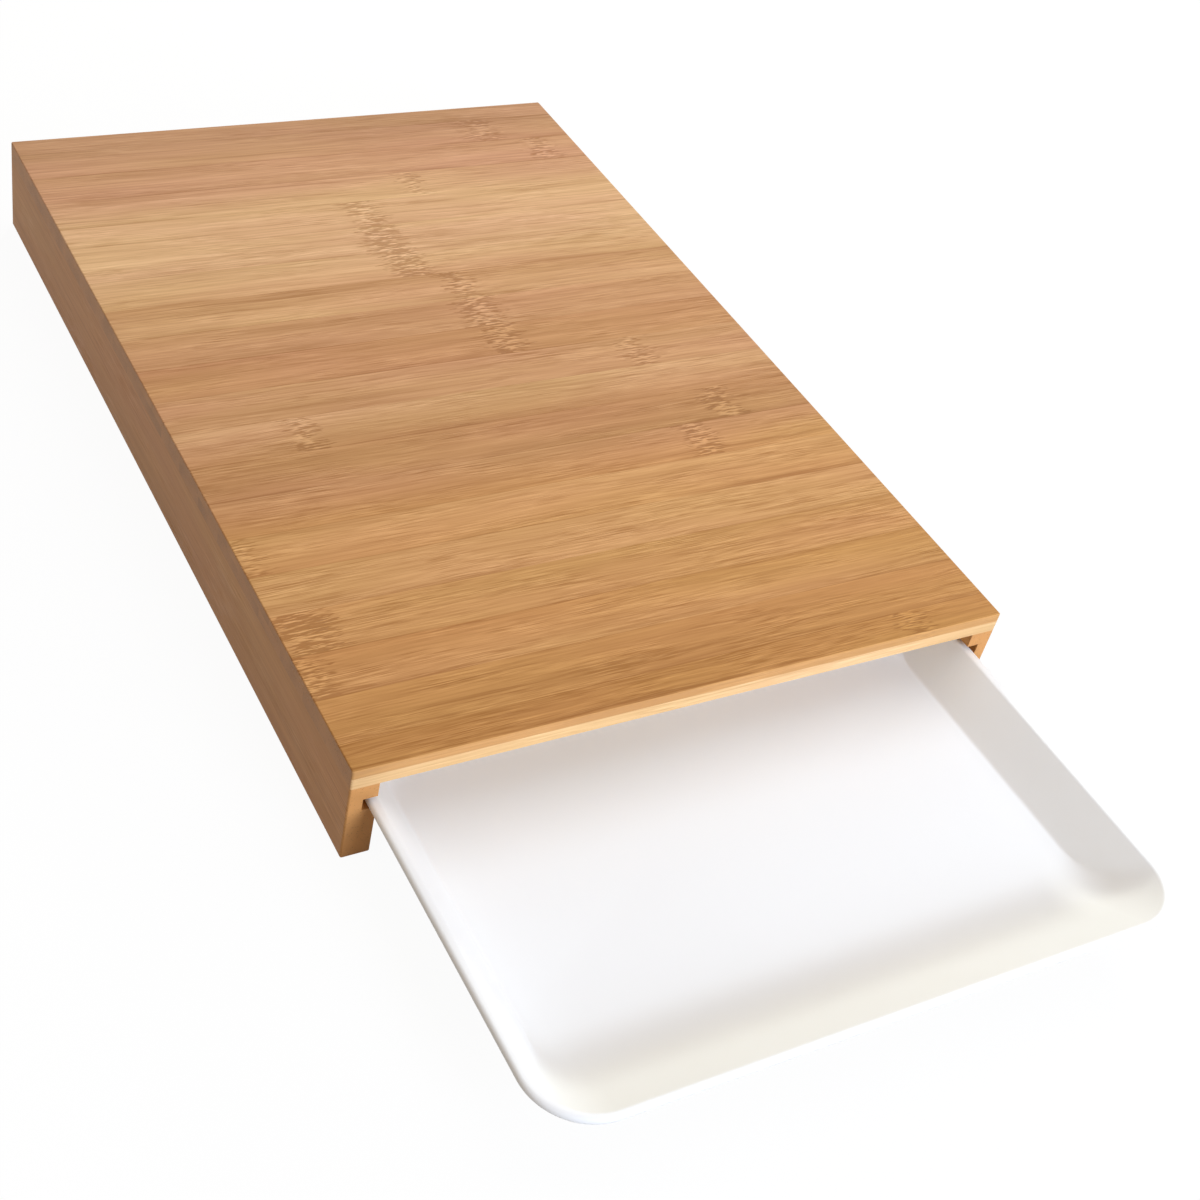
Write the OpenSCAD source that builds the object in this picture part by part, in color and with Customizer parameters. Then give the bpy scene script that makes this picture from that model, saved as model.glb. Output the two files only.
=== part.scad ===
// Bamboo cutting board on two grooved rails, with a moulded tray that slides in at each end.
// Millimetres. +X runs across the board, +Y to its back end, +Z up.
// The origin is on the table, under the middle of the board and the drawn-out front tray
// taken together. The front tray is drawn out and the back tray is pushed in.

/* [Board] */
// Width of the board from side to side
board_w = 255; // [200:1:340]
// Length of the board from its front end to its back end
board_l = 380; // [320:1:480]
// Thickness of the upper layer of strips
top_ply_t = 3.5; // [3:0.1:8]
// Thickness of the lower layer of strips
bottom_ply_t = 4.5; // [3:0.1:8]
// Width of the first and the last strip of the upper layer, which are cut down
edge_strip_w = 11.8; // [6:0.1:16]
// Radius of the upright corners of the board and the rails
corner_r = 0.8; // [0.6:0.1:4]
// Radius along the upper edges of the board
edge_r = 0.5; // [0.2:0.1:0.7]

/* [Rails] */
// Width of a rail
rail_w = 10; // [8:0.5:16]
// Height of a rail, from the table to the underside of the board
rail_h = 32; // [28:0.5:45]
// Height of the lip above the groove
lip_t = 6; // [4:0.5:9]
// Height of the groove
groove_h = 5; // [4:0.5:7]
// Depth of the groove into the rail
groove_d = 5; // [3:0.5:6]
// Radius along the lower edges of a rail
rail_edge_r = 0.5; // [0.2:0.1:2]

/* [Centre stop] */
// Width of the stop batten along the board
stop_w = 10; // [6:0.5:20]
// Height of the stop batten below the board
stop_h = 18; // [14:0.5:24]
// Radius along the lower edges of the stop batten
stop_edge_r = 1; // [0.4:0.1:2]

/* [Dowels] */
// Diameter of a dowel
dowel_d = 4; // [3:0.5:6]
// Distance from the end of a rail to its first dowel
dowel_inset = 30; // [15:1:60]
// Distance between the dowels of the stop batten
stop_dowel_pitch = 80; // [40:1:90]
// Bamboo left past the end of a dowel hole
dowel_skin = 0.6; // [0.4:0.1:1.2]
// Bevel on the ends of a dowel
dowel_bevel = 0.4; // [0.2:0.1:0.8]

/* [Trays] */
// Thickness of the rim that runs in the grooves
rim_t = 3; // [2:0.1:3.4]
// Thickness of the tray's walls, square to the wall
wall_t = 1.8; // [1.4:0.1:3]
// Thickness of the tray's floor
floor_t = 2.5; // [1.5:0.1:3.5]
// Lean of the side walls from upright, in degrees
side_draft = 39; // [15:1:45]
// Lean of the end walls from upright, in degrees
end_draft = 59.5; // [40:0.5:65]
// Radius of the rim's corners, seen from above
rim_corner_r = 22; // [14:1:30]
// Radius of the floor's corners, seen from above
floor_corner_r = 9; // [8:1:20]
// Radius between the floor and the side walls
side_fillet_r = 1.5; // [1:0.5:9]
// Radius between the floor and the end walls
end_fillet_r = 20; // [8:1:30]
// Radius of the rim's inner edge
rim_edge_r = 1.4; // [0.4:0.1:1.6]
// Height of the tray's underside above the table
table_gap = 6.5; // [3:0.5:9]
// How far the front tray is drawn out from its closed place
front_pull = 129; // [0:1:140]

/* [Clearances] */
// Gap between the rim and the floor of the groove
run_gap = 0.3; // [0.2:0.1:0.6]
// Gap between the rim's edge and the back of the groove, on each side
side_gap = 2; // [1:0.1:2.5]
// Gap between the tray's wall and the rail, just under the rim
wall_gap = 0.6; // [0.4:0.1:2]
// Gap between a closed tray and the stop batten
stop_gap = 0.5; // [0.3:0.1:1.5]
// How far a closed tray stands back from the end of the board
end_inset = 1.5; // [0.5:0.5:5]
// How much wider a dowel's hole is than the dowel
dowel_fit = 0.1; // [0.06:0.02:0.3]
// Gap at each end of a dowel in its hole
dowel_end_gap = 0.3; // [0.2:0.1:0.6]

/* [Hidden] */
$fn = 48;

// Counts of the repeated pieces
top_strips = 20;
bottom_strips = 19;
rail_dowels = 5;
stop_dowels = 3;

// Names of the pieces
function numbered(name, n) = [for (i = [1:n]) str(name, i < 10 ? "0" : "", i)];
TOP_NAMES = numbered("top_strip_", top_strips);
BOTTOM_NAMES = numbered("bottom_strip_", bottom_strips);
OTHER_NAMES = [
    "left_rail", "right_rail", "centre_stop",
    "left_rail_dowels", "right_rail_dowels", "stop_dowels",
    "front_tray", "back_tray"
];

// Colours of the pieces
bamboo_light = [0.82, 0.63, 0.42];
bamboo_dark = [0.74, 0.53, 0.33];
bamboo_pale = [0.90, 0.75, 0.52];
rail_colour = [0.72, 0.52, 0.32];
dowel_colour = [0.86, 0.76, 0.60];
tray_colour = [0.95, 0.95, 0.93];

// Heights of the board and the rails
board_t = top_ply_t + bottom_ply_t;
ply_joint_z = rail_h + bottom_ply_t;
board_top_z = rail_h + board_t;
groove_top_z = rail_h - lip_t;
groove_floor_z = groove_top_z - groove_h;

// Places along the board
front_overhang = front_pull - end_inset;
front_y = (front_overhang - board_l) / 2;
back_y = front_y + board_l;
middle_y = (front_y + back_y) / 2;

// Seams between the strips, counted from the front
top_strip_w = (board_l - 2 * edge_strip_w) / (top_strips - 2);
bottom_strip_w = board_l / bottom_strips;
function top_seam(i) =
    i == 0 ? front_y :
    i == top_strips ? back_y :
    front_y + edge_strip_w + (i - 1) * top_strip_w;
function bottom_seam(i) = i == bottom_strips ? back_y : front_y + i * bottom_strip_w;

// Sizes of a tray
tray_l = board_l / 2 - stop_w / 2 - stop_gap - end_inset;
tray_w = board_w - 2 * rail_w + 2 * (groove_d - side_gap);
rim_under_z = groove_floor_z + run_gap;
rim_top_z = rim_under_z + rim_t;
tray_floor_z = table_gap + floor_t;
wall_inset = groove_d - side_gap + wall_gap;
back_tray_y = back_y - end_inset - tray_l / 2;
front_tray_y = front_y - front_overhang + tray_l / 2;

// Places of the dowels
rail_dowel_x = board_w / 2 - rail_w / 2;
rail_dowel_pitch = (board_l - 2 * dowel_inset) / (rail_dowels - 1);
dowel_hole_low_z = groove_top_z + dowel_skin;
dowel_hole_high_z = ply_joint_z - dowel_skin;

// Detail of the tray's surface
corner_steps = 12;
fillet_steps = 5;
rim_steps = 6;
edge_steps = 2;

// A block between two corners
module block(low, high) {
    translate(low)
        cube(high - low);
}

// Outline of the board seen from above
module board_plan() {
    for (side = [-1, 1])
        for (end_y = [front_y + corner_r, back_y - corner_r])
            translate([side * (board_w / 2 - corner_r), end_y])
                circle(corner_r);
    translate([-board_w / 2, front_y + corner_r])
        square([board_w, board_l - 2 * corner_r]);
    translate([corner_r - board_w / 2, front_y])
        square([board_w - 2 * corner_r, board_l]);
}

// A plank's end outline, centred, standing on zero, with its two lower edges rounded
module plank_section(width, height, radius) {
    for (side = [-1, 1])
        translate([side * (width / 2 - radius), radius])
            circle(radius);
    translate([-width / 2, radius])
        square([width, height - radius]);
    translate([radius - width / 2, 0])
        square([width - 2 * radius, height]);
}

// The same outline with its two upper edges rounded
module board_section(width) {
    translate([0, board_t])
        mirror([0, 1])
            plank_section(width, board_t, edge_r);
}

// Corner post of the board, its upper edge rounded like the board's
module corner_post() {
    rotate_extrude()
        intersection() {
            board_section(2 * corner_r);
            square([corner_r, board_t]);
        }
}

// The whole board before it is divided into strips
module board_blank() {
    translate([0, 0, rail_h]) {
        translate([0, back_y - corner_r, 0])
            rotate([90, 0, 0])
                linear_extrude(board_l - 2 * corner_r)
                    board_section(board_w);
        translate([corner_r - board_w / 2, middle_y, 0])
            rotate([90, 0, 90])
                linear_extrude(board_w - 2 * corner_r)
                    board_section(board_l);
        for (side = [-1, 1])
            for (end_y = [front_y + corner_r, back_y - corner_r])
                translate([side * (board_w / 2 - corner_r), end_y, 0])
                    corner_post();
    }
}

// One strip of the board, between two seams and two heights
module strip(low_y, high_y, low_z, high_z) {
    intersection() {
        board_blank();
        block([-board_w, low_y, low_z], [board_w, high_y, high_z]);
    }
}

module top_strip(i) {
    color(i % 3 == 1 ? bamboo_dark : bamboo_light)
        strip(top_seam(i), top_seam(i + 1), ply_joint_z, board_top_z + 1);
}

module bottom_strip(i) {
    color(bamboo_pale)
        difference() {
            strip(bottom_seam(i), bottom_seam(i + 1), rail_h - 1, ply_joint_z);
            all_dowel_places()
                dowel_hole();
        }
}

// Rail on one side: side is -1 for the left and 1 for the right
module rail(side) {
    color(rail_colour)
        difference() {
            intersection() {
                translate([side * rail_dowel_x, back_y, 0])
                    rotate([90, 0, 0])
                        linear_extrude(board_l)
                            rail_section(side);
                linear_extrude(rail_h)
                    board_plan();
            }
            rail_dowel_places(side)
                dowel_hole();
        }
}

// End outline of a rail, with its groove open towards the middle of the board
module rail_section(side) {
    difference() {
        plank_section(rail_w, rail_h, rail_edge_r);
        translate([side > 0 ? -rail_w : rail_w / 2 - groove_d, groove_floor_z])
            square([side > 0 ? rail_w / 2 + groove_d : rail_w, groove_h]);
    }
}

// Batten across the middle, which both trays stop against
module centre_stop() {
    color(rail_colour)
        difference() {
            translate([rail_w - board_w / 2, middle_y, rail_h - stop_h])
                rotate([90, 0, 90])
                    linear_extrude(board_w - 2 * rail_w)
                        plank_section(stop_w, stop_h, stop_edge_r);
            stop_dowel_places()
                dowel_hole();
        }
}

module rail_dowel_places(side) {
    for (i = [0:rail_dowels - 1])
        translate([side * rail_dowel_x, front_y + dowel_inset + i * rail_dowel_pitch, 0])
            children();
}

module stop_dowel_places() {
    for (i = [0:stop_dowels - 1])
        translate([(i - (stop_dowels - 1) / 2) * stop_dowel_pitch, middle_y, 0])
            children();
}

module all_dowel_places() {
    rail_dowel_places(-1)
        children();
    rail_dowel_places(1)
        children();
    stop_dowel_places()
        children();
}

module dowel_hole() {
    translate([0, 0, dowel_hole_low_z])
        cylinder(h = dowel_hole_high_z - dowel_hole_low_z, d = dowel_d + dowel_fit);
}

// A dowel with bevelled ends, standing in its hole
module dowel() {
    length = dowel_hole_high_z - dowel_hole_low_z - 2 * dowel_end_gap;
    color(dowel_colour)
        translate([0, 0, dowel_hole_low_z + dowel_end_gap])
            rotate_extrude()
                polygon([
                    [0, 0],
                    [dowel_d / 2 - dowel_bevel, 0],
                    [dowel_d / 2, dowel_bevel],
                    [dowel_d / 2, length - dowel_bevel],
                    [dowel_d / 2 - dowel_bevel, length],
                    [0, length]
                ]);
}

// The tray's walls. An inset is how far a wall lies inside the rim's outer edge, and it grows
// towards the floor with the wall's lean.
function outer_wall(z, draft) = wall_inset + tan(draft) * (rim_under_z - z);
function inner_wall(z, draft) = outer_wall(z, draft) + wall_t / cos(draft);

// How much of a fillet's radius it takes up along the wall's height
function fillet_rise(draft) = 1 - sin(draft);

// Extra inset of a hollow fillet of radius r at a height above the floor it meets
function floor_fillet(height, draft, r) =
    height < r * fillet_rise(draft) ?
        r * fillet_rise(draft) / cos(draft) - sqrt(r * r - pow(r - height, 2)) + tan(draft) * height :
        0;

// Inset that the rounded inner edge of the rim takes off at a depth below the rim's top
function rim_round(depth, draft) =
    depth < rim_edge_r * fillet_rise(draft) ?
        rim_edge_r * fillet_rise(draft) / cos(draft) + tan(draft) * depth
            - sqrt(pow(rim_edge_r, 2) - pow(rim_edge_r - depth, 2)) :
        0;

// One ring of the tray's surface: a rounded rectangle, whose corner radius goes from the rim's
// to the floor's as its inset grows
function ring(side_inset, end_inset, z) =
    let (
        share = min(1, side_inset / inner_wall(tray_floor_z, side_draft)),
        r = rim_corner_r + (floor_corner_r - rim_corner_r) * share,
        x = tray_w / 2 - side_inset - r,
        y = tray_l / 2 - end_inset - r
    )
    [
        for (corner = [0:3], step = [0:corner_steps])
            let (angle = 90 * (corner + step / corner_steps))
            [
                (corner == 0 || corner == 3 ? x : -x) + r * cos(angle),
                (corner < 2 ? y : -y) + r * sin(angle),
                z
            ]
    ];

// Heights of the rings in a fillet of the given height, closest together at the floor
function fillet_heights(rise) = [for (i = [0:fillet_steps]) rise * pow(i / fillet_steps, 2)];

// Rings of the tray from the underside, up the outer wall, round the rim and down to the floor
function tray_rings() =
    let (
        outer_side_r = side_fillet_r + wall_t,
        outer_end_r = end_fillet_r + wall_t,
        outer_rise = max(outer_side_r * fillet_rise(side_draft), outer_end_r * fillet_rise(end_draft)),
        inner_rise = max(side_fillet_r * fillet_rise(side_draft), end_fillet_r * fillet_rise(end_draft)),
        rim_drop = rim_edge_r * fillet_rise(side_draft),
        rim_r = rim_t / 2
    )
    concat(
        [
            for (h = fillet_heights(outer_rise))
                let (z = table_gap + h)
                ring(
                    outer_wall(z, side_draft) + floor_fillet(h, side_draft, outer_side_r),
                    outer_wall(z, end_draft) + floor_fillet(h, end_draft, outer_end_r),
                    z
                )
        ],
        [ring(wall_inset, wall_inset, rim_under_z)],
        [
            for (i = [0:rim_steps])
                let (angle = 180 * i / rim_steps - 90, inset = rim_r * (1 - cos(angle)))
                ring(inset, inset, rim_under_z + rim_r + rim_r * sin(angle))
        ],
        [
            for (i = [0:edge_steps])
                let (depth = rim_drop * pow(i / edge_steps, 2), z = rim_top_z - depth)
                ring(
                    inner_wall(z, side_draft) - rim_round(depth, side_draft),
                    inner_wall(z, end_draft) - rim_round(depth, end_draft),
                    z
                )
        ],
        [
            for (i = [fillet_steps:-1:0])
                let (h = fillet_heights(inner_rise)[i], z = tray_floor_z + h)
                ring(
                    inner_wall(z, side_draft) + floor_fillet(h, side_draft, side_fillet_r),
                    inner_wall(z, end_draft) + floor_fillet(h, end_draft, end_fillet_r),
                    z
                )
        ]
    );

// A moulded tray, centred on the origin in plan, as one skin over its rings
module tray() {
    rings = tray_rings();
    n = len(rings[0]);
    last = (len(rings) - 1) * n;
    walls = [
        for (i = [0:len(rings) - 2], j = [0:n - 1])
            let (a = i * n + j, b = i * n + (j + 1) % n)
            each [[a, a + n, b], [b, a + n, b + n]]
    ];
    underside = [for (j = [0:n - 1]) j];
    inside_floor = [for (j = [n - 1:-1:0]) last + j];
    color(tray_colour)
        polyhedron([for (r = rings) each r], concat(walls, [underside, inside_floor]), 4);
}

module front_tray() {
    translate([0, front_tray_y, 0])
        tray();
}

module back_tray() {
    translate([0, back_tray_y, 0])
        rotate([0, 0, 180])
            tray();
}

for (i = [0:top_strips - 1])
    top_strip(i);
for (i = [0:bottom_strips - 1])
    bottom_strip(i);
rail(-1);  // left_rail
rail(1);  // right_rail
centre_stop();
rail_dowel_places(-1) dowel();  // left_rail_dowels
rail_dowel_places(1) dowel();  // right_rail_dowels
stop_dowel_places() dowel();  // stop_dowels
front_tray();
back_tray();
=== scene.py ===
"""Looks of a bamboo cutting board on two grooved rails, with a white tray that slides in at each end.

The board, rails, stop and dowels keep their solids and get their finishes here. The two trays are
lofted again, with finer steps and a softer fold at their ends. Sizes are in millimetres and turned to
metres by MM. +X runs across the board, +Y to its back end, +Z up.
"""

import math

import bpy
from mathutils import Matrix, Vector


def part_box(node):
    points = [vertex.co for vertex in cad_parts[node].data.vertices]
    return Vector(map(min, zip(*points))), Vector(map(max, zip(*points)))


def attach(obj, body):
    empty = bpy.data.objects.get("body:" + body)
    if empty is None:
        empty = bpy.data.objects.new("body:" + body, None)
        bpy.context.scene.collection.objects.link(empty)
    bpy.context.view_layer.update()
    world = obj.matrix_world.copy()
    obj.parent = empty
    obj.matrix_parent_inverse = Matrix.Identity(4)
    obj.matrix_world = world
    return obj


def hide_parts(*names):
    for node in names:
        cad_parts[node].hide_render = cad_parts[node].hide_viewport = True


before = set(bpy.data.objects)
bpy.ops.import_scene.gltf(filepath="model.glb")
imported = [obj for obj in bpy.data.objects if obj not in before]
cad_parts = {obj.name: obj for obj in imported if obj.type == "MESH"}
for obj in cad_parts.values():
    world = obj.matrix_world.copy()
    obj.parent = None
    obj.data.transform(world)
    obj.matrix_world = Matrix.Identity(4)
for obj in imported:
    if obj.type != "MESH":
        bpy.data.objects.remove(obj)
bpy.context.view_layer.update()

MM = 0.001

# The board's left edge and its strips, from the frame
BOARD_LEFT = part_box("top_strip_02")[0].x / MM
TOP_NAMES = sorted(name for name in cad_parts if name.startswith("top_strip_"))
BOTTOM_NAMES = sorted(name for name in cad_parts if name.startswith("bottom_strip_"))

# Section of a tray, as the solid has it, except the fold at its ends, whose radius is 20 there
RIM_T = 3
WALL_T = 1.8
FLOOR_T = 2.5
WALL_INSET = 3.6
SIDE_DRAFT = math.radians(39)
END_DRAFT = math.radians(59.5)
RIM_CORNER_R = 22
FLOOR_CORNER_R = 9
SIDE_FILLET_R = 1.5
END_FILLET_R = 45
RIM_EDGE_R = 1.4

# Steps of a tray's surface: round a corner, up a fillet, round the rim, and down its inner edge
CORNER_STEPS = 20
FILLET_STEPS = 10
RIM_STEPS = 12
EDGE_STEPS = 4

# Points of a tray closer than this are one, and edges sharper than this aren't smoothed
MERGE_DISTANCE = 0.005
SHARP_ANGLE = math.radians(35)

# Tones of the bamboo, as sanded and oiled: those at an upper strip's two seams, from the front to
# the back of the board, then those of the rails, the lower layer, the end grain and sawn edges. The
# sawn edges' tone is partly their own paler colour and partly painted light for the brightly lit
# front edge.
BAMBOO_TONES = {
    "amber": "#BA854B",
    "ochre": "#BF8A52",
    "honey": "#C5925C",
    "gold": "#CC9B66",
    "hazel": "#BB8A5D",
    "chestnut": "#C08E63",
    "toffee": "#C6966C",
    "sand": "#D0A377",
    "straw": "#D8AE84",
    "rose": "#C99975",
    "clay": "#BC8F6B",
}
STRIP_TONES = (
    ("amber", "amber"), ("ochre", "ochre"), ("honey", "ochre"), ("honey", "honey"), ("gold", "gold"),
    ("honey", "gold"), ("honey", "chestnut"), ("hazel", "hazel"), ("hazel", "sand"),
    ("toffee", "toffee"), ("chestnut", "chestnut"), ("toffee", "toffee"), ("sand", "toffee"),
    ("sand", "straw"), ("straw", "straw"), ("straw", "straw"), ("straw", "rose"), ("rose", "rose"),
    ("rose", "clay"), ("clay", "clay"),
)
RAIL_TONE = "#C58D53"
NATURAL_TONE = "#E6C495"
END_TONE = "#BC8752"
RAIL_END_TONE = "#D99B5C"
CUT_EDGE_AND_PAINTED_LIGHT_TONE = "#F4BC7D"

# How much of the fine fibre shows on the first upper strip, and how much less on each next one
FRONT_COARSENESS = 1.22
COARSENESS_STEP = 0.03

# How much of the grain shows on a rail, and how pale the sawn edges of the two layers are made,
# partly by their own tone and partly by painted light for the bright front edge
RAIL_DEPTH = 0.55
UPPER_CUT_EDGE_AND_PAINTED_LIGHT = 0.45
LOWER_CUT_EDGE_AND_PAINTED_LIGHT = 0.4

# How far apart two seeds read the grain, so that no two pieces look alike, and the seeds. An upper
# strip's is its number.
SEED_STEP = (531.7, 91.3, 37.9)
LOWER_SEED = 40
RAIL_SEEDS = {"left_rail": 71, "right_rail": 74}
STOP_SEED = 77

# Flecks of the beech, and the plastic's drawn texture and faint flow marks
FLECK_WIDTH = 2
FLECK_LENGTH = 20
TEXTURE_SIZE = 0.5
FLOW_SIZE = 60

# Where the stalk's joints cross the upper strips: strip number, then the place from the board's
# left edge, the half width, and how strongly the mark shows and is stained
STALK_JOINTS = {
    1: (220, 7, 0.5, 0.1),
    3: (2, 6, 0.9, 0.0),
    4: (9, 9, 0.8, 0.6),
    6: (4, 4, 0.6, 0.1),
    7: (197, 6, 1.0, 0.1),
    8: (217, 6, 1.0, 0.0),
    9: (47, 5, 0.8, 0.1),
    10: (200, 6, 0.6, 0.1),
    11: (149, 7, 1.0, 0.1),
    12: (148, 8, 1.0, 0.1),
    13: (147, 6, 0.9, 0.15),
    14: (131, 8, 1.0, 0.4),
    15: (130, 8, 1.0, 0.4),
    16: (129, 7, 0.8, 0.25),
    17: (160, 4, 0.8, 0.1),
    18: (235, 6, 0.7, 0.1),
    19: (212, 9, 0.6, 0.3),
}

# The photograph's view. The optical axis passes through the aim, and the angles are in degrees: how
# far the camera looks down, its heading from +Y towards +X, and how far it is rolled.
CAMERA_AIM = (-18.27, -64.22, 20)
CAMERA_DISTANCE = 665.36
CAMERA_DOWN = 41.289
CAMERA_HEADING = 36.488
CAMERA_ROLL = 13.776
CAMERA_LENS = 56.07
SENSOR_WIDTH = 36
CAMERA_SHIFT = (0.03, 0.015)

# The studio: light from all round and its tint, and the paper's grey, how much of its white is its
# own, how bright that is, and half its width
AMBIENT = 0.4
AMBIENT_TINT = "#FFEBD3"
PAPER_TINT = "#B0B0B0"
PAPER_GLOW = 0.88
PAPER_WHITE = 1.08
PAPER_HALF = 4000

# Lamps: name, direction from the origin, distance, width, power in watts, tint, and whether
# reflections show it
LAMPS = (
    ("main_lamp", (0.48, 0.08, 1.0), 850, 1000, 3.05, "#F0F7FF", True),
    ("front_fill", (0.2, -1.0, 0.46), 1400, 700, 15.8, "#D9E8FF", False),
    ("back_light", (0.5, 1.0, 0.3), 1500, 180, 13.2, "#F8FFF4", False),
)

# A Mix node has sockets for each kind of value under the same names. These are the colours'.
MIX_A, MIX_B, MIX_RESULT = 6, 7, 2


def colour(hex_value, lightness=1.0):
    """Linear colour of an sRGB hex value, made lighter or darker by a factor."""
    channels = [int(hex_value[i:i + 2], 16) / 255 for i in (1, 3, 5)]
    linear = [c / 12.92 if c <= 0.04045 else ((c + 0.055) / 1.055) ** 2.4 for c in channels]
    return tuple(min(1.0, c * lightness) for c in linear) + (1.0,)


def add(tree, kind, inputs=(), out=0, **settings):
    """Adds a node, sets its properties, and sets or links its inputs, given in order or by name.

    Returns the output that out names, or nothing where the node has no outputs.
    """
    node = tree.nodes.new(kind)
    for name, value in settings.items():
        setattr(node, name, value)
    pairs = inputs.items() if isinstance(inputs, dict) else enumerate(inputs)
    for key, value in pairs:
        if isinstance(value, bpy.types.NodeSocket):
            tree.links.new(value, node.inputs[key])
        else:
            node.inputs[key].default_value = value
    return node.outputs[out] if node.outputs else None


def empty_tree(owner):
    """Turns on the nodes of a material or the world, and empties its tree."""
    owner.use_nodes = True
    owner.node_tree.nodes.clear()
    return owner.node_tree


def cell_scale(length, width):
    """Scale at which a pattern's cells have a length along the fibre and a width across it."""
    return (1 / length, 1 / width, 1 / width)


def streaks(tree, grain, length, width, detail=1.0, rough=0.5, beside=0):
    """Noise around nought, drawn out along the fibre and read some way beside the point."""
    drawn = add(
        tree, "ShaderNodeVectorMath",
        [grain, cell_scale(length, width), (0, beside / width, beside / width)],
        operation="MULTIPLY_ADD")
    noise = add(
        tree, "ShaderNodeTexNoise",
        {"Vector": drawn, "Scale": 1, "Detail": detail, "Roughness": rough})
    return add(tree, "ShaderNodeMath", [noise, 0.5], operation="SUBTRACT")


def total(tree, start, *parts):
    """The sum of a start and some patterns, each times its share."""
    for pattern, share in parts:
        start = add(tree, "ShaderNodeMath", [pattern, share, start], operation="MULTIPLY_ADD")
    return start


def fibre_run(tree, place, along, seed, stalk_joint):
    """Coordinates that run with the fibres, which wander sideways by about half a millimetre over
    some centimetres, and nearly twice that beside a stalk joint."""
    shift = [seed * step for step in SEED_STEP]
    shifted = add(tree, "ShaderNodeVectorMath", [place, shift], operation="ADD")
    wander = add(
        tree, "ShaderNodeVectorMath", [shifted, cell_scale(length=60, width=18)], operation="MULTIPLY")
    wander = add(tree, "ShaderNodeTexNoise", {"Vector": wander, "Scale": 1, "Detail": 1}, out="Color")
    wander = add(tree, "ShaderNodeVectorMath", [wander, (0.5, 0.5, 0.5)], operation="SUBTRACT")
    if stalk_joint:
        centre, half_width, _, _ = stalk_joint
        near = add(tree, "ShaderNodeMath", [along, centre], operation="SUBTRACT")
        near = add(tree, "ShaderNodeMath", [near], operation="ABSOLUTE")
        near = add(tree, "ShaderNodeMapRange", [near, half_width, half_width + 25, 1.8, 1])
        wander = add(tree, "ShaderNodeVectorMath", {0: wander, "Scale": near}, operation="SCALE")
    return add(tree, "ShaderNodeVectorMath", [wander, (0, 2.4, 2), shifted], operation="MULTIPLY_ADD")


def joint_mark(tree, grain, along, centre, half_width, strength):
    """Patterns of a scalloped mark where the stalk had a joint. Short fibres end there in ridges. The
    difference of two samples a little apart gives each ridge a painted highlight on one side and
    painted shade on the other, as if lit from one side.

    Returns the ridges, which serve as bump and as that painted light and shade, the blotches and
    the mark's own extent.
    """
    dashes = streaks(tree, grain, length=5, width=0.8)
    next_to = streaks(tree, grain, length=5, width=0.8, beside=0.4)
    # The difference paints a highlight on one side of each ridge and shade on the other
    ridge_bump_and_painted_shading = add(tree, "ShaderNodeMath", [dashes, next_to], operation="SUBTRACT")

    # The mark sways along the strip by a few millimetres, and its dashes make its edge ragged
    sway = streaks(tree, grain, length=60, width=2.5)
    away = add(tree, "ShaderNodeMath", [along, centre], operation="SUBTRACT")
    away = total(tree, away, (sway, 14))
    away = add(tree, "ShaderNodeMath", [away], operation="ABSOLUTE")
    away = total(tree, away, (dashes, 16))
    mark = add(
        tree, "ShaderNodeMapRange", [away, half_width - 4, half_width + 2, strength, 0],
        interpolation_type="SMOOTHSTEP")
    ridge_bump_and_painted_shading = add(tree, "ShaderNodeMath", [ridge_bump_and_painted_shading, mark], operation="MULTIPLY")
    blotches = streaks(tree, grain, length=7, width=4)
    blotches = add(tree, "ShaderNodeMath", [blotches, mark], operation="MULTIPLY")
    return ridge_bump_and_painted_shading, blotches, mark


def glue_lines(tree, grain, across, seams):
    """Patterns of the glue line at each of a strip's two seams, and of the strip's darker edge behind
    the first. They show in some places only."""
    gaps = [add(tree, "ShaderNodeMath", [across, seam], operation="SUBTRACT") for seam in seams]
    edge = add(tree, "ShaderNodeMapRange", [gaps[0], 0.3, 3.5, 1, 0], interpolation_type="SMOOTHSTEP")
    gaps = [add(tree, "ShaderNodeMath", [gap], operation="ABSOLUTE") for gap in gaps]
    gap = add(tree, "ShaderNodeMath", gaps, operation="MINIMUM")
    line = add(tree, "ShaderNodeMapRange", [gap, 0.1, 0.4, 1, 0], interpolation_type="SMOOTHSTEP")
    shown = streaks(tree, grain, length=60, width=40)
    shown = add(tree, "ShaderNodeMapRange", [shown, -0.05, 0.15, 0.05, 1])
    line = add(tree, "ShaderNodeMath", [line, shown], operation="MULTIPLY")
    edge = add(tree, "ShaderNodeMath", [edge, shown], operation="MULTIPLY")
    return line, edge


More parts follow.
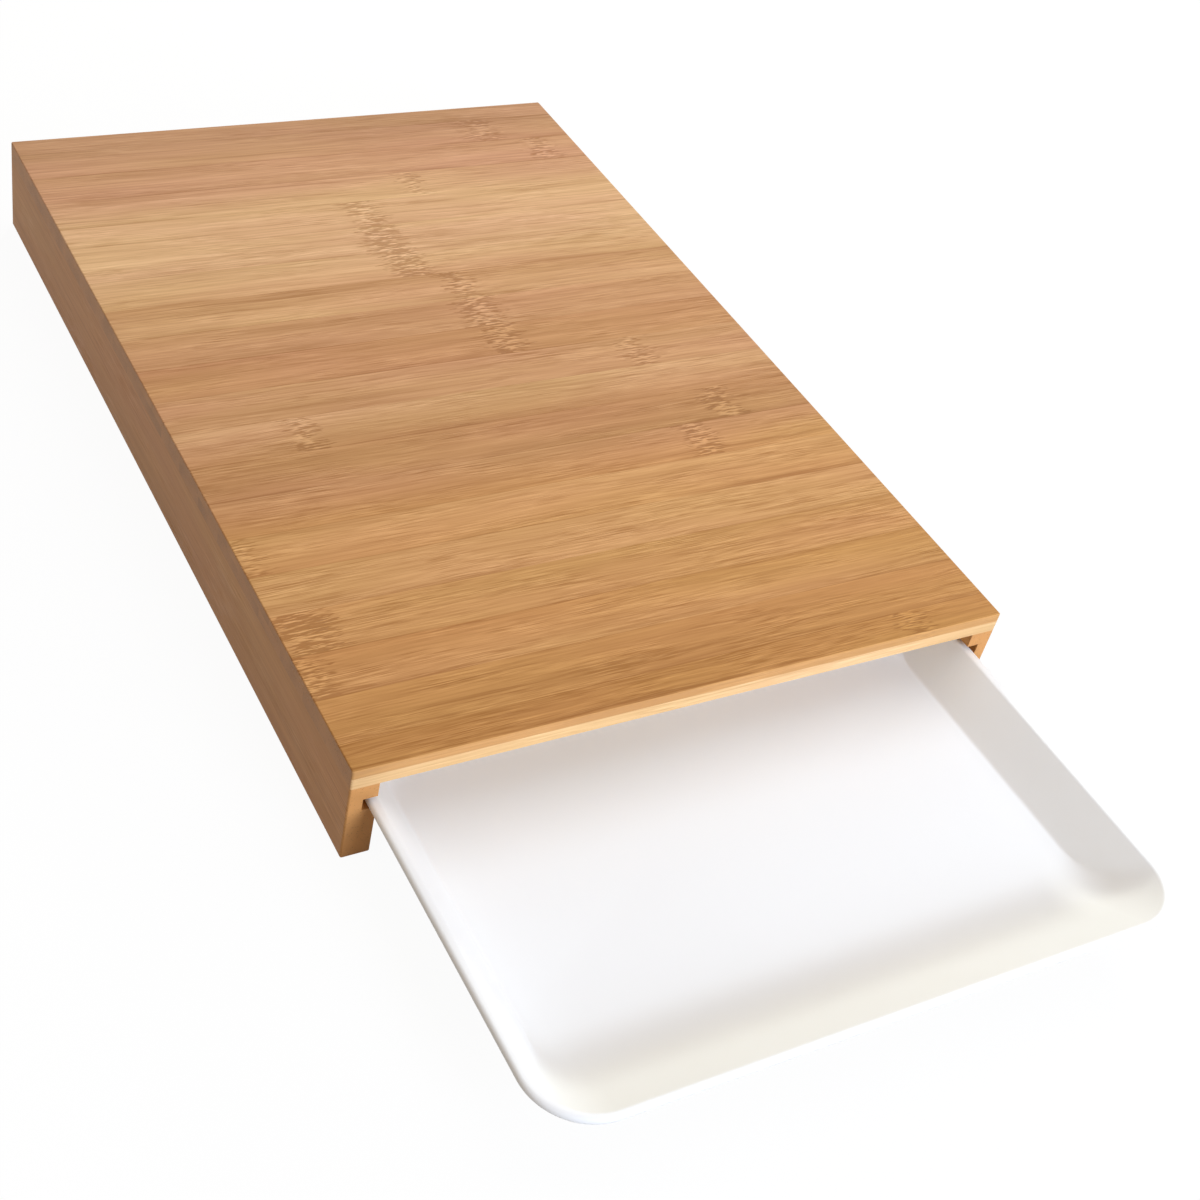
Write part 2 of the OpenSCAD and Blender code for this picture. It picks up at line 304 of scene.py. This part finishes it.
def bamboo(
        name, tones, fibre="X", seed=0, coarse=1.0, depth=1.0, seams=None, stalk_joint=None,
        cut_edge_and_painted_light=0.0, end_tone=END_TONE):
    """Pressed bamboo, sanded and lightly oiled: long fibres, clusters of fine dark lines where the
    bundles of the stalk run, a dotted end grain, and a scalloped mark where the stalk had a joint.

    The pattern is solid, so it runs round the edges. tones are the colours at the two seams, which
    are the places of the glue lines beside a strip. fibre is the way the stalk lay, coarse how
    much its fine fibres show, and depth how much the whole grain does. stalk_joint is a place along
    the strip, and the half width, strength and stain of its mark. The cut edge share is how far a
    sawn long edge goes towards a paler tone: partly the edge's own, and partly painted light that
    stands in for the bright light on the board's front edge and its arris.
    """
    material = bpy.data.materials.new(name)
    tree = empty_tree(material)
    turn = 0 if fibre == "X" else -math.pi / 2
    where = add(tree, "ShaderNodeTexCoord", out="Object")
    place = add(
        tree, "ShaderNodeMapping", {"Vector": where, "Rotation": (0, 0, turn), "Scale": (1 / MM,) * 3})
    along, across, _ = add(tree, "ShaderNodeSeparateXYZ", [place]).node.outputs
    grain = fibre_run(tree, place, along, seed, stalk_joint)

    # Fine fibres, rough in some places and smooth in others, and the stalk's broader growth
    patches = streaks(tree, grain, length=35, width=9)
    patches = add(tree, "ShaderNodeMapRange", [patches, -0.15, 0.15, 0.25 * coarse, 1.75 * coarse])
    fibres = streaks(tree, grain, length=14, width=0.42, detail=2, rough=0.6)
    fibres = add(tree, "ShaderNodeMath", [fibres, patches], operation="MULTIPLY")
    threads = streaks(tree, grain, length=50, width=0.95, detail=2)
    layers = streaks(tree, grain, length=130, width=4.5, detail=2)
    growth = streaks(tree, grain, length=190, width=14)

    # Bundles: columns of darker fibre about a millimetre apart, clearer in some places
    columns = add(
        tree, "ShaderNodeVectorMath", [grain, cell_scale(length=30, width=1.1)], operation="MULTIPLY")
    bundles = add(tree, "ShaderNodeTexVoronoi", {"Vector": columns, "Scale": 1})
    bundles = add(
        tree, "ShaderNodeMapRange", [bundles, 0.08, 0.32, 1, 0], interpolation_type="SMOOTHSTEP")
    cluster = streaks(tree, grain, length=70, width=7)
    cluster = add(tree, "ShaderNodeMapRange", [cluster, 0.0, 0.2, 0.1, 1])
    lines = add(tree, "ShaderNodeMath", [bundles, cluster], operation="MULTIPLY")

    # Long dark veins, a few of them broad
    veins = streaks(tree, grain, length=140, width=2)
    veins = add(tree, "ShaderNodeMath", [veins], operation="ABSOLUTE")
    veins = add(tree, "ShaderNodeMapRange", [veins, 0.0, 0.035, 1, 0])
    veins = add(tree, "ShaderNodeMath", [veins, cluster], operation="MULTIPLY")
    broad = streaks(tree, grain, length=150, width=2.2)
    broad = add(tree, "ShaderNodeMapRange", [broad, 0.12, 0.27, 0, 1])

    # Shade goes from nought for the darkest fibre to one for the lightest
    shade = total(
        tree, 0.5, (fibres, 1.3 * depth), (threads, 0.85 * depth), (layers, 0.7 * depth),
        (growth, 0.4 * depth), (lines, -0.24 * depth), (veins, -0.24 * depth), (broad, -0.3 * depth))
    height = total(tree, 0.0, (fibres, 1.2), (lines, -0.5))
    if stalk_joint:
        centre, half_width, strength, stain = stalk_joint
        ridge_bump_and_painted_shading, blotches, mark = joint_mark(tree, grain, along, centre, half_width, strength)
        # The ridges' painted highlight and shade go into the colour here, and the ridges into the bump too
        shade = total(tree, shade, (ridge_bump_and_painted_shading, 5.0), (blotches, 1.2), (mark, -stain))
        height = total(tree, height, (ridge_bump_and_painted_shading, 6.0))
    far_side = 0.5
    if seams:
        line, edge = glue_lines(tree, grain, across, seams)
        shade = total(tree, shade, (line, -0.7), (edge, -0.22))
        far_side = add(tree, "ShaderNodeMapRange", [across, *seams, 0, 1])

    # The tone goes over from one seam's to the other's. Dark fibres are redder than it and light ones
    # paler, and its hue drifts from rosy to straw over some centimetres.
    tone = add(
        tree, "ShaderNodeMix", {"Factor": far_side, MIX_A: colour(tones[0]), MIX_B: colour(tones[1])},
        out=MIX_RESULT, data_type="RGBA")
    contrast = add(
        tree, "ShaderNodeMix",
        {"Factor": shade, MIX_A: (0.72, 0.64, 0.52, 1), MIX_B: (1.26, 1.33, 1.38, 1)},
        out=MIX_RESULT, data_type="RGBA")
    drift = streaks(tree, grain, length=110, width=20)
    drift = total(tree, 0.5, (drift, 2.6))
    drift = add(
        tree, "ShaderNodeMix",
        {"Factor": drift, MIX_A: (1.02, 0.98, 1.02, 1), MIX_B: (0.99, 1.0, 0.93, 1)},
        out=MIX_RESULT, data_type="RGBA")
    base = add(tree, "ShaderNodeVectorMath", [tone, contrast], operation="MULTIPLY")
    base = add(tree, "ShaderNodeVectorMath", [base, drift], operation="MULTIPLY")

    normal = add(tree, "ShaderNodeNewGeometry", out="Normal")
    facing = add(tree, "ShaderNodeSeparateXYZ", [normal]).node.outputs
    if cut_edge_and_painted_light:
        # The sawn long edges are made paler than the face: partly their own tone, as they took less oil,
        # and partly painted light standing in for the bright light on the front edge, with a painted
        # highlight on its rounded arris. The back edge gets the same.
        side = add(tree, "ShaderNodeMath", [facing["YX".index(fibre)]], operation="ABSOLUTE")
        side = add(tree, "ShaderNodeMapRange", [side, 0.15, 0.5, 0, cut_edge_and_painted_light])
        base = add(
            tree, "ShaderNodeMix", {"Factor": side, MIX_A: base, MIX_B: colour(CUT_EDGE_AND_PAINTED_LIGHT_TONE)},
            out=MIX_RESULT, data_type="RGBA")

    # End grain: darker, with the bundles as dots
    end_face = add(tree, "ShaderNodeMath", [facing["XY".index(fibre)]], operation="ABSOLUTE")
    end_face = add(tree, "ShaderNodeMapRange", [end_face, 0.8, 0.95, 0, 1])
    dots = total(tree, 0.62, (bundles, -0.34), (growth, 0.9))
    end_grain = add(
        tree, "ShaderNodeMix",
        {"Factor": dots, MIX_A: colour(end_tone, 0.6), MIX_B: colour(end_tone, 1.2)},
        out=MIX_RESULT, data_type="RGBA")
    base = add(
        tree, "ShaderNodeMix", {"Factor": end_face, MIX_A: base, MIX_B: end_grain},
        out=MIX_RESULT, data_type="RGBA")

    surface = add(tree, "ShaderNodeBsdfPrincipled", {
        "Base Color": base,
        "Roughness": total(tree, 0.5, (fibres, -0.3)),
        "Normal": add(tree, "ShaderNodeBump", {"Height": height, "Distance": 0.1 * MM, "Strength": 0.6}),
        "IOR": 1.48,
        "Specular IOR Level": 0.2})
    add(tree, "ShaderNodeOutputMaterial", [surface])
    return material


def beech(name):
    """Turned beech dowel: pale pinkish wood with brown flecks along the rod."""
    material = bpy.data.materials.new(name)
    tree = empty_tree(material)
    where = add(tree, "ShaderNodeTexCoord", out="Object")
    across, along = 1 / (FLECK_WIDTH * MM), 1 / (FLECK_LENGTH * MM)
    drawn = add(tree, "ShaderNodeMapping", {"Vector": where, "Scale": (across, across, along)})
    grain = add(tree, "ShaderNodeTexNoise", {"Vector": drawn, "Scale": 1, "Detail": 3})
    base = add(
        tree, "ShaderNodeMix", {"Factor": grain, MIX_A: colour("#C8A27A"), MIX_B: colour("#E6CBA6")},
        out=MIX_RESULT, data_type="RGBA")
    bump = add(tree, "ShaderNodeBump", {"Height": grain, "Distance": 0.05 * MM, "Strength": 0.5})
    surface = add(
        tree, "ShaderNodeBsdfPrincipled", {"Base Color": base, "Roughness": 0.6, "Normal": bump})
    add(tree, "ShaderNodeOutputMaterial", [surface])
    return material


def moulded_plastic(name):
    """Injection-moulded white polypropylene: even and satin, from a finely spark-eroded mould.

    The real texture is about 0.1 mm and wouldn't show, so it is drawn at half a millimetre.
    """
    material = bpy.data.materials.new(name)
    tree = empty_tree(material)
    where = add(tree, "ShaderNodeTexCoord", out="Object")
    where = add(tree, "ShaderNodeVectorMath", {0: where, "Scale": 1 / MM}, operation="SCALE")
    texture = add(tree, "ShaderNodeTexNoise", {"Vector": where, "Scale": 1 / TEXTURE_SIZE, "Detail": 2})
    flow = add(tree, "ShaderNodeTexNoise", {"Vector": where, "Scale": 1 / FLOW_SIZE, "Detail": 2})
    base = add(
        tree, "ShaderNodeMix", {"Factor": flow, MIX_A: colour("#F8F8F6"), MIX_B: colour("#FCFCFB")},
        out=MIX_RESULT, data_type="RGBA")
    roughness = add(tree, "ShaderNodeMath", [flow, 0.16, 0.28], operation="MULTIPLY_ADD")
    bump = add(tree, "ShaderNodeBump", {"Height": texture, "Distance": 0.02 * MM, "Strength": 0.35})
    surface = add(
        tree, "ShaderNodeBsdfPrincipled",
        {"Base Color": base, "Roughness": roughness, "Normal": bump, "IOR": 1.49})
    add(tree, "ShaderNodeOutputMaterial", [surface])
    return material


def dress(node, material):
    """Gives a CAD node its finish."""
    node.data.materials.clear()
    node.data.materials.append(material)


def fillet_rise(draft):
    """Share of a fillet's radius that it takes up along the height of a wall."""
    return 1 - math.sin(draft)


def fillet_inset(height, draft, radius):
    """Extra inset of a hollow fillet at a height above the floor it meets."""
    if height >= radius * fillet_rise(draft):
        return 0
    tangent = radius * fillet_rise(draft) / math.cos(draft)
    return tangent + math.tan(draft) * height - math.sqrt(radius ** 2 - (radius - height) ** 2)


def squared_steps(span, steps):
    """Heights from nought to a span, closest together at nought."""
    return [span * (i / steps) ** 2 for i in range(steps + 1)]


def tray_section(low, high):
    """Rings of a tray between two corners of its box, from the middle of the underside, up the outer
    wall, round the rim and down to the middle of the floor.

    Each ring is its inset from the sides, its inset from the ends, its height, and the radius of its
    corners.
    """
    half_length = (high.y - low.y) / MM / 2
    underside, rim_top = low.z / MM, high.z / MM
    rim_under = rim_top - RIM_T
    floor = underside + FLOOR_T

    def outer(z, draft):
        return WALL_INSET + math.tan(draft) * (rim_under - z)

    def inner(z, draft):
        return outer(z, draft) + WALL_T / math.cos(draft)

    def corner_radius(inset):
        share = min(1, inset / inner(floor, SIDE_DRAFT))
        return RIM_CORNER_R + (FLOOR_CORNER_R - RIM_CORNER_R) * share

    def curved(z, height, wall, grow):
        return [
            wall(z, draft) + fillet_inset(height, draft, radius + grow)
            for draft, radius in ((SIDE_DRAFT, SIDE_FILLET_R), (END_DRAFT, END_FILLET_R))
        ]

    def rise(grow):
        return max(
            (SIDE_FILLET_R + grow) * fillet_rise(SIDE_DRAFT),
            (END_FILLET_R + grow) * fillet_rise(END_DRAFT))

    rings = []

    # Up the outer wall, whose fillets are rounder by the wall's thickness, and round the rim
    for h in squared_steps(rise(WALL_T), FILLET_STEPS):
        rings.append((*curved(underside + h, h, outer, WALL_T), underside + h))
    rings.append((WALL_INSET, WALL_INSET, rim_under))
    for i in range(RIM_STEPS + 1):
        angle = math.pi * (i / RIM_STEPS - 0.5)
        inset = RIM_T / 2 * (1 - math.cos(angle))
        rings.append((inset, inset, rim_under + RIM_T / 2 * (1 + math.sin(angle))))

    # Over the rim's rounded inner edge, which is a fillet turned upside down, and down to the floor
    for depth in squared_steps(RIM_EDGE_R * fillet_rise(SIDE_DRAFT), EDGE_STEPS):
        z = rim_top - depth
        rings.append((
            inner(z, SIDE_DRAFT) - fillet_inset(depth, SIDE_DRAFT, RIM_EDGE_R),
            inner(z, END_DRAFT) - fillet_inset(depth, END_DRAFT, RIM_EDGE_R),
            z))
    for h in reversed(squared_steps(rise(0), FILLET_STEPS)):
        rings.append((*curved(floor + h, h, inner, 0), floor + h))

    rings = [(*ring, corner_radius(ring[0])) for ring in rings]
    middle = [(half_length, half_length, z, 0) for z in (underside, floor)]
    return [middle[0], *rings, middle[1]]


def loft_tree():
    """Geometry Nodes that loft a rounded rectangle over rings.

    The geometry that comes in has a point for each ring: its inset from the sides and from the ends
    as x and y, its height as z, and the radius of its corners as the attribute corner_radius.
    """
    tree = bpy.data.node_groups.new("rounded_rectangle_loft", "GeometryNodeTree")
    for name, kind in (
            ("Rings", "Geometry"), ("Width", "Float"), ("Length", "Float"), ("Corner Steps", "Int"),
            ("Finish", "Material")):
        tree.interface.new_socket(name, in_out="INPUT", socket_type="NodeSocket" + kind)
    tree.interface.new_socket("Loft", in_out="OUTPUT", socket_type="NodeSocketGeometry")
    rings, width, length, steps, finish = add(tree, "NodeGroupInput").node.outputs[:5]

    # One row of the grid for each ring, one column for each point round the rectangle
    rows = add(tree, "GeometryNodeAttributeDomainSize", {"Geometry": rings}, out="Point Count")
    points = add(tree, "ShaderNodeMath", [steps, 1], operation="ADD")
    columns = add(tree, "ShaderNodeMath", [points, 4, 1], operation="MULTIPLY_ADD")
    grid = add(
        tree, "GeometryNodeMeshGrid",
        {"Size X": 1, "Size Y": 1, "Vertices X": rows, "Vertices Y": columns})
    index = add(tree, "GeometryNodeInputIndex")
    row = add(tree, "ShaderNodeMath", [index, columns], operation="DIVIDE")
    row = add(tree, "ShaderNodeMath", [row], operation="FLOOR")
    column = add(tree, "ShaderNodeMath", [index, columns], operation="MODULO")
    corner = add(tree, "ShaderNodeMath", [column, points], operation="DIVIDE")
    corner = add(tree, "ShaderNodeMath", [corner], operation="FLOOR")
    step = add(tree, "ShaderNodeMath", [column, points], operation="MODULO")

    # The ring's sizes at this row
    place = add(tree, "GeometryNodeInputPosition")
    ring = add(
        tree, "GeometryNodeSampleIndex", {"Geometry": rings, "Value": place, "Index": row},
        data_type="FLOAT_VECTOR")
    side_inset, end_inset, height = add(tree, "ShaderNodeSeparateXYZ", [ring]).node.outputs
    radius = add(tree, "GeometryNodeInputNamedAttribute", {"Name": "corner_radius"}, data_type="FLOAT")
    radius = add(
        tree, "GeometryNodeSampleIndex", {"Geometry": rings, "Value": radius, "Index": row},
        data_type="FLOAT")

    # The angle on the corner's arc, and the corner's own diagonal, whose signs place its centre
    share = add(tree, "ShaderNodeMath", [step, steps], operation="DIVIDE")
    turns = add(tree, "ShaderNodeMath", [corner, share], operation="ADD")
    angle = add(tree, "ShaderNodeMath", [turns, math.pi / 2], operation="MULTIPLY")
    middle = add(tree, "ShaderNodeMath", [corner, math.pi / 2, math.pi / 4], operation="MULTIPLY_ADD")

    def side(size, inset, trig):
        half = add(tree, "ShaderNodeMath", [size, 0.5], operation="MULTIPLY")
        half = add(tree, "ShaderNodeMath", [half, inset], operation="SUBTRACT")
        half = add(tree, "ShaderNodeMath", [half, radius], operation="SUBTRACT")
        sign = add(tree, "ShaderNodeMath", [middle], operation=trig)
        sign = add(tree, "ShaderNodeMath", [sign], operation="SIGN")
        centre = add(tree, "ShaderNodeMath", [half, sign], operation="MULTIPLY")
        arc = add(tree, "ShaderNodeMath", [angle], operation=trig)
        return add(tree, "ShaderNodeMath", [radius, arc, centre], operation="MULTIPLY_ADD")

    point = add(
        tree, "ShaderNodeCombineXYZ",
        [side(width, side_inset, "COSINE"), side(length, end_inset, "SINE"), height])
    skin = add(tree, "GeometryNodeSetPosition", {"Geometry": grid, "Position": point})

    # Wrapped this way round the grid faces inwards, so its faces are turned over
    skin = add(tree, "GeometryNodeFlipFaces", [skin])
    skin = add(tree, "GeometryNodeMergeByDistance", {"Geometry": skin, "Distance": MERGE_DISTANCE * MM})
    skin = add(tree, "GeometryNodeRealizeInstances", [skin])
    skin = add(tree, "GeometryNodeSetMaterial", {"Geometry": skin, "Material": finish})
    add(tree, "NodeGroupOutput", [skin])
    return tree


def make_tray(node_name, tree, material):
    """Lofts a tray in the place of its solid."""
    low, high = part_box(node_name)
    section = tray_section(low, high)
    name = node_name + "_moulding"
    mesh = bpy.data.meshes.new(name + "_rings")
    mesh.from_pydata([[size * MM for size in ring[:3]] for ring in section], [], [])
    radii = mesh.attributes.new("corner_radius", "FLOAT", "POINT")
    radii.data.foreach_set("value", [ring[3] * MM for ring in section])
    tray = bpy.data.objects.new(name, mesh)
    bpy.context.scene.collection.objects.link(tray)
    modifier = tray.modifiers.new("loft", "NODES")
    modifier.node_group = tree
    values = {
        "Width": high.x - low.x,
        "Length": high.y - low.y,
        "Corner Steps": CORNER_STEPS,
        "Finish": material,
    }
    for item in tree.interface.items_tree:
        if item.name in values:
            modifier[item.identifier] = values[item.name]
    evaluated = tray.evaluated_get(bpy.context.evaluated_depsgraph_get())
    lofted = bpy.data.meshes.new_from_object(evaluated)
    tray.modifiers.remove(modifier)
    tray.data = lofted
    lofted.name = name
    lofted.transform(Matrix.Translation(((low.x + high.x) / 2, (low.y + high.y) / 2, 0)))
    lofted.shade_smooth()
    lofted.set_sharp_from_angle(angle=SHARP_ANGLE)
    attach(tray, node_name)
    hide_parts(node_name)


def make_camera():
    """The photograph's view, from the front left and above."""
    aim = Vector(CAMERA_AIM) * MM
    down, heading, roll = (math.radians(a) for a in (CAMERA_DOWN, CAMERA_HEADING, CAMERA_ROLL))
    forward = Vector((
        math.sin(heading) * math.cos(down), math.cos(heading) * math.cos(down), -math.sin(down)))
    level = forward.cross(Vector((0, 0, 1))).normalized()
    upright = level.cross(forward)
    right = level * math.cos(roll) + upright * math.sin(roll)
    up = upright * math.cos(roll) - level * math.sin(roll)
    data = bpy.data.cameras.new("camera")
    data.sensor_width = SENSOR_WIDTH
    data.lens = CAMERA_LENS
    data.shift_x, data.shift_y = CAMERA_SHIFT
    camera = bpy.data.objects.new("camera", data)
    bpy.context.scene.collection.objects.link(camera)
    camera.matrix_world = Matrix.Translation(aim - forward * CAMERA_DISTANCE * MM) @ Matrix(
        (right, up, -forward)).transposed().to_4x4()
    bpy.context.scene.camera = camera


def seen_directly(tree):
    """One for rays from the camera and for reflections and clear things, nought for light that
    falls on the object."""
    seen = add(tree, "ShaderNodeLightPath").node.outputs
    either = add(
        tree, "ShaderNodeMath", [seen["Is Camera Ray"], seen["Is Glossy Ray"]], operation="MAXIMUM")
    return add(tree, "ShaderNodeMath", [either, seen["Is Transmission Ray"]], operation="MAXIMUM")


def make_surroundings():
    """Soft light from all round, which is plain white where it is seen."""
    world = bpy.data.worlds.new("studio")
    bpy.context.scene.world = world
    tree = empty_tree(world)
    surround = add(
        tree, "ShaderNodeMix",
        {"Factor": seen_directly(tree), MIX_A: colour(AMBIENT_TINT, AMBIENT), MIX_B: (1, 1, 1, 1)},
        out=MIX_RESULT, data_type="RGBA")
    surround = add(tree, "ShaderNodeBackground", [surround, 1])
    add(tree, "ShaderNodeOutputWorld", [surround])


def make_floor():
    """A sheet of matt white paper, which shows as white, less the object's soft shadow."""
    paper = bpy.data.materials.new("matt_white_paper")
    tree = empty_tree(paper)
    lit = add(tree, "ShaderNodeBsdfDiffuse", [colour(PAPER_TINT)])
    white = add(tree, "ShaderNodeEmission", [(1, 1, 1, 1), PAPER_WHITE])
    share = add(tree, "ShaderNodeMath", [seen_directly(tree), PAPER_GLOW], operation="MULTIPLY")
    surface = add(tree, "ShaderNodeMixShader", [share, lit, white])
    add(tree, "ShaderNodeOutputMaterial", [surface])
    half = PAPER_HALF * MM
    corners = [(-half, -half, 0), (half, -half, 0), (half, half, 0), (-half, half, 0)]
    mesh = bpy.data.meshes.new("floor")
    mesh.from_pydata(corners, [], [(0, 1, 2, 3)])
    mesh.materials.append(paper)
    floor = bpy.data.objects.new("floor", mesh)
    bpy.context.scene.collection.objects.link(floor)


def make_lamp(name, towards, distance, size, power, tint, reflected):
    """A round soft lamp that shines at the object's middle."""
    data = bpy.data.lights.new(name, "AREA")
    data.shape = "DISK"
    data.size = size * MM
    data.energy = power
    data.color = colour(tint)[:3]
    lamp = bpy.data.objects.new(name, data)
    lamp.visible_glossy = reflected
    bpy.context.scene.collection.objects.link(lamp)
    direction = Vector(towards).normalized()
    lamp.location = direction * distance * MM
    lamp.rotation_mode = "QUATERNION"
    lamp.rotation_quaternion = direction.to_track_quat("Z", "Y")


make_camera()
make_surroundings()
make_floor()
for lamp in LAMPS:
    make_lamp(*lamp)

# A joint's place is given from the board's left edge, and the material wants it from the origin
for number, name in enumerate(TOP_NAMES, 1):
    low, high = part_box(name)
    joint = STALK_JOINTS.get(number)
    dress(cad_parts[name], bamboo(
        f"pressed_bamboo_strip_{number:02}",
        [BAMBOO_TONES[tone] for tone in STRIP_TONES[number - 1]],
        seed=number,
        coarse=FRONT_COARSENESS - COARSENESS_STEP * (number - 1),
        seams=(low.y / MM, high.y / MM),
        stalk_joint=joint and (BOARD_LEFT + joint[0], *joint[1:]),
        cut_edge_and_painted_light=UPPER_CUT_EDGE_AND_PAINTED_LIGHT if number in (1, len(TOP_NAMES)) else 0))

for number, name in enumerate(BOTTOM_NAMES, 1):
    dress(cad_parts[name], bamboo(
        f"natural_bamboo_strip_{number:02}",
        [NATURAL_TONE] * 2,
        seed=LOWER_SEED + number,
        cut_edge_and_painted_light=LOWER_CUT_EDGE_AND_PAINTED_LIGHT if number in (1, len(BOTTOM_NAMES)) else 0))

for name, seed in RAIL_SEEDS.items():
    dress(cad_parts[name], bamboo(
        "bamboo_" + name, [RAIL_TONE] * 2, fibre="Y", seed=seed, depth=RAIL_DEPTH, end_tone=RAIL_END_TONE))
dress(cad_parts["centre_stop"], bamboo("bamboo_centre_stop", [RAIL_TONE] * 2, seed=STOP_SEED))

dowel_wood = beech("turned_beech")
for name in ("left_rail_dowels", "right_rail_dowels", "stop_dowels"):
    dress(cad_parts[name], dowel_wood)

plastic = moulded_plastic("moulded_white_polypropylene")
loft = loft_tree()
for name in ("front_tray", "back_tray"):
    make_tray(name, loft, plastic)

bpy.context.scene.view_settings.view_transform = "Standard"
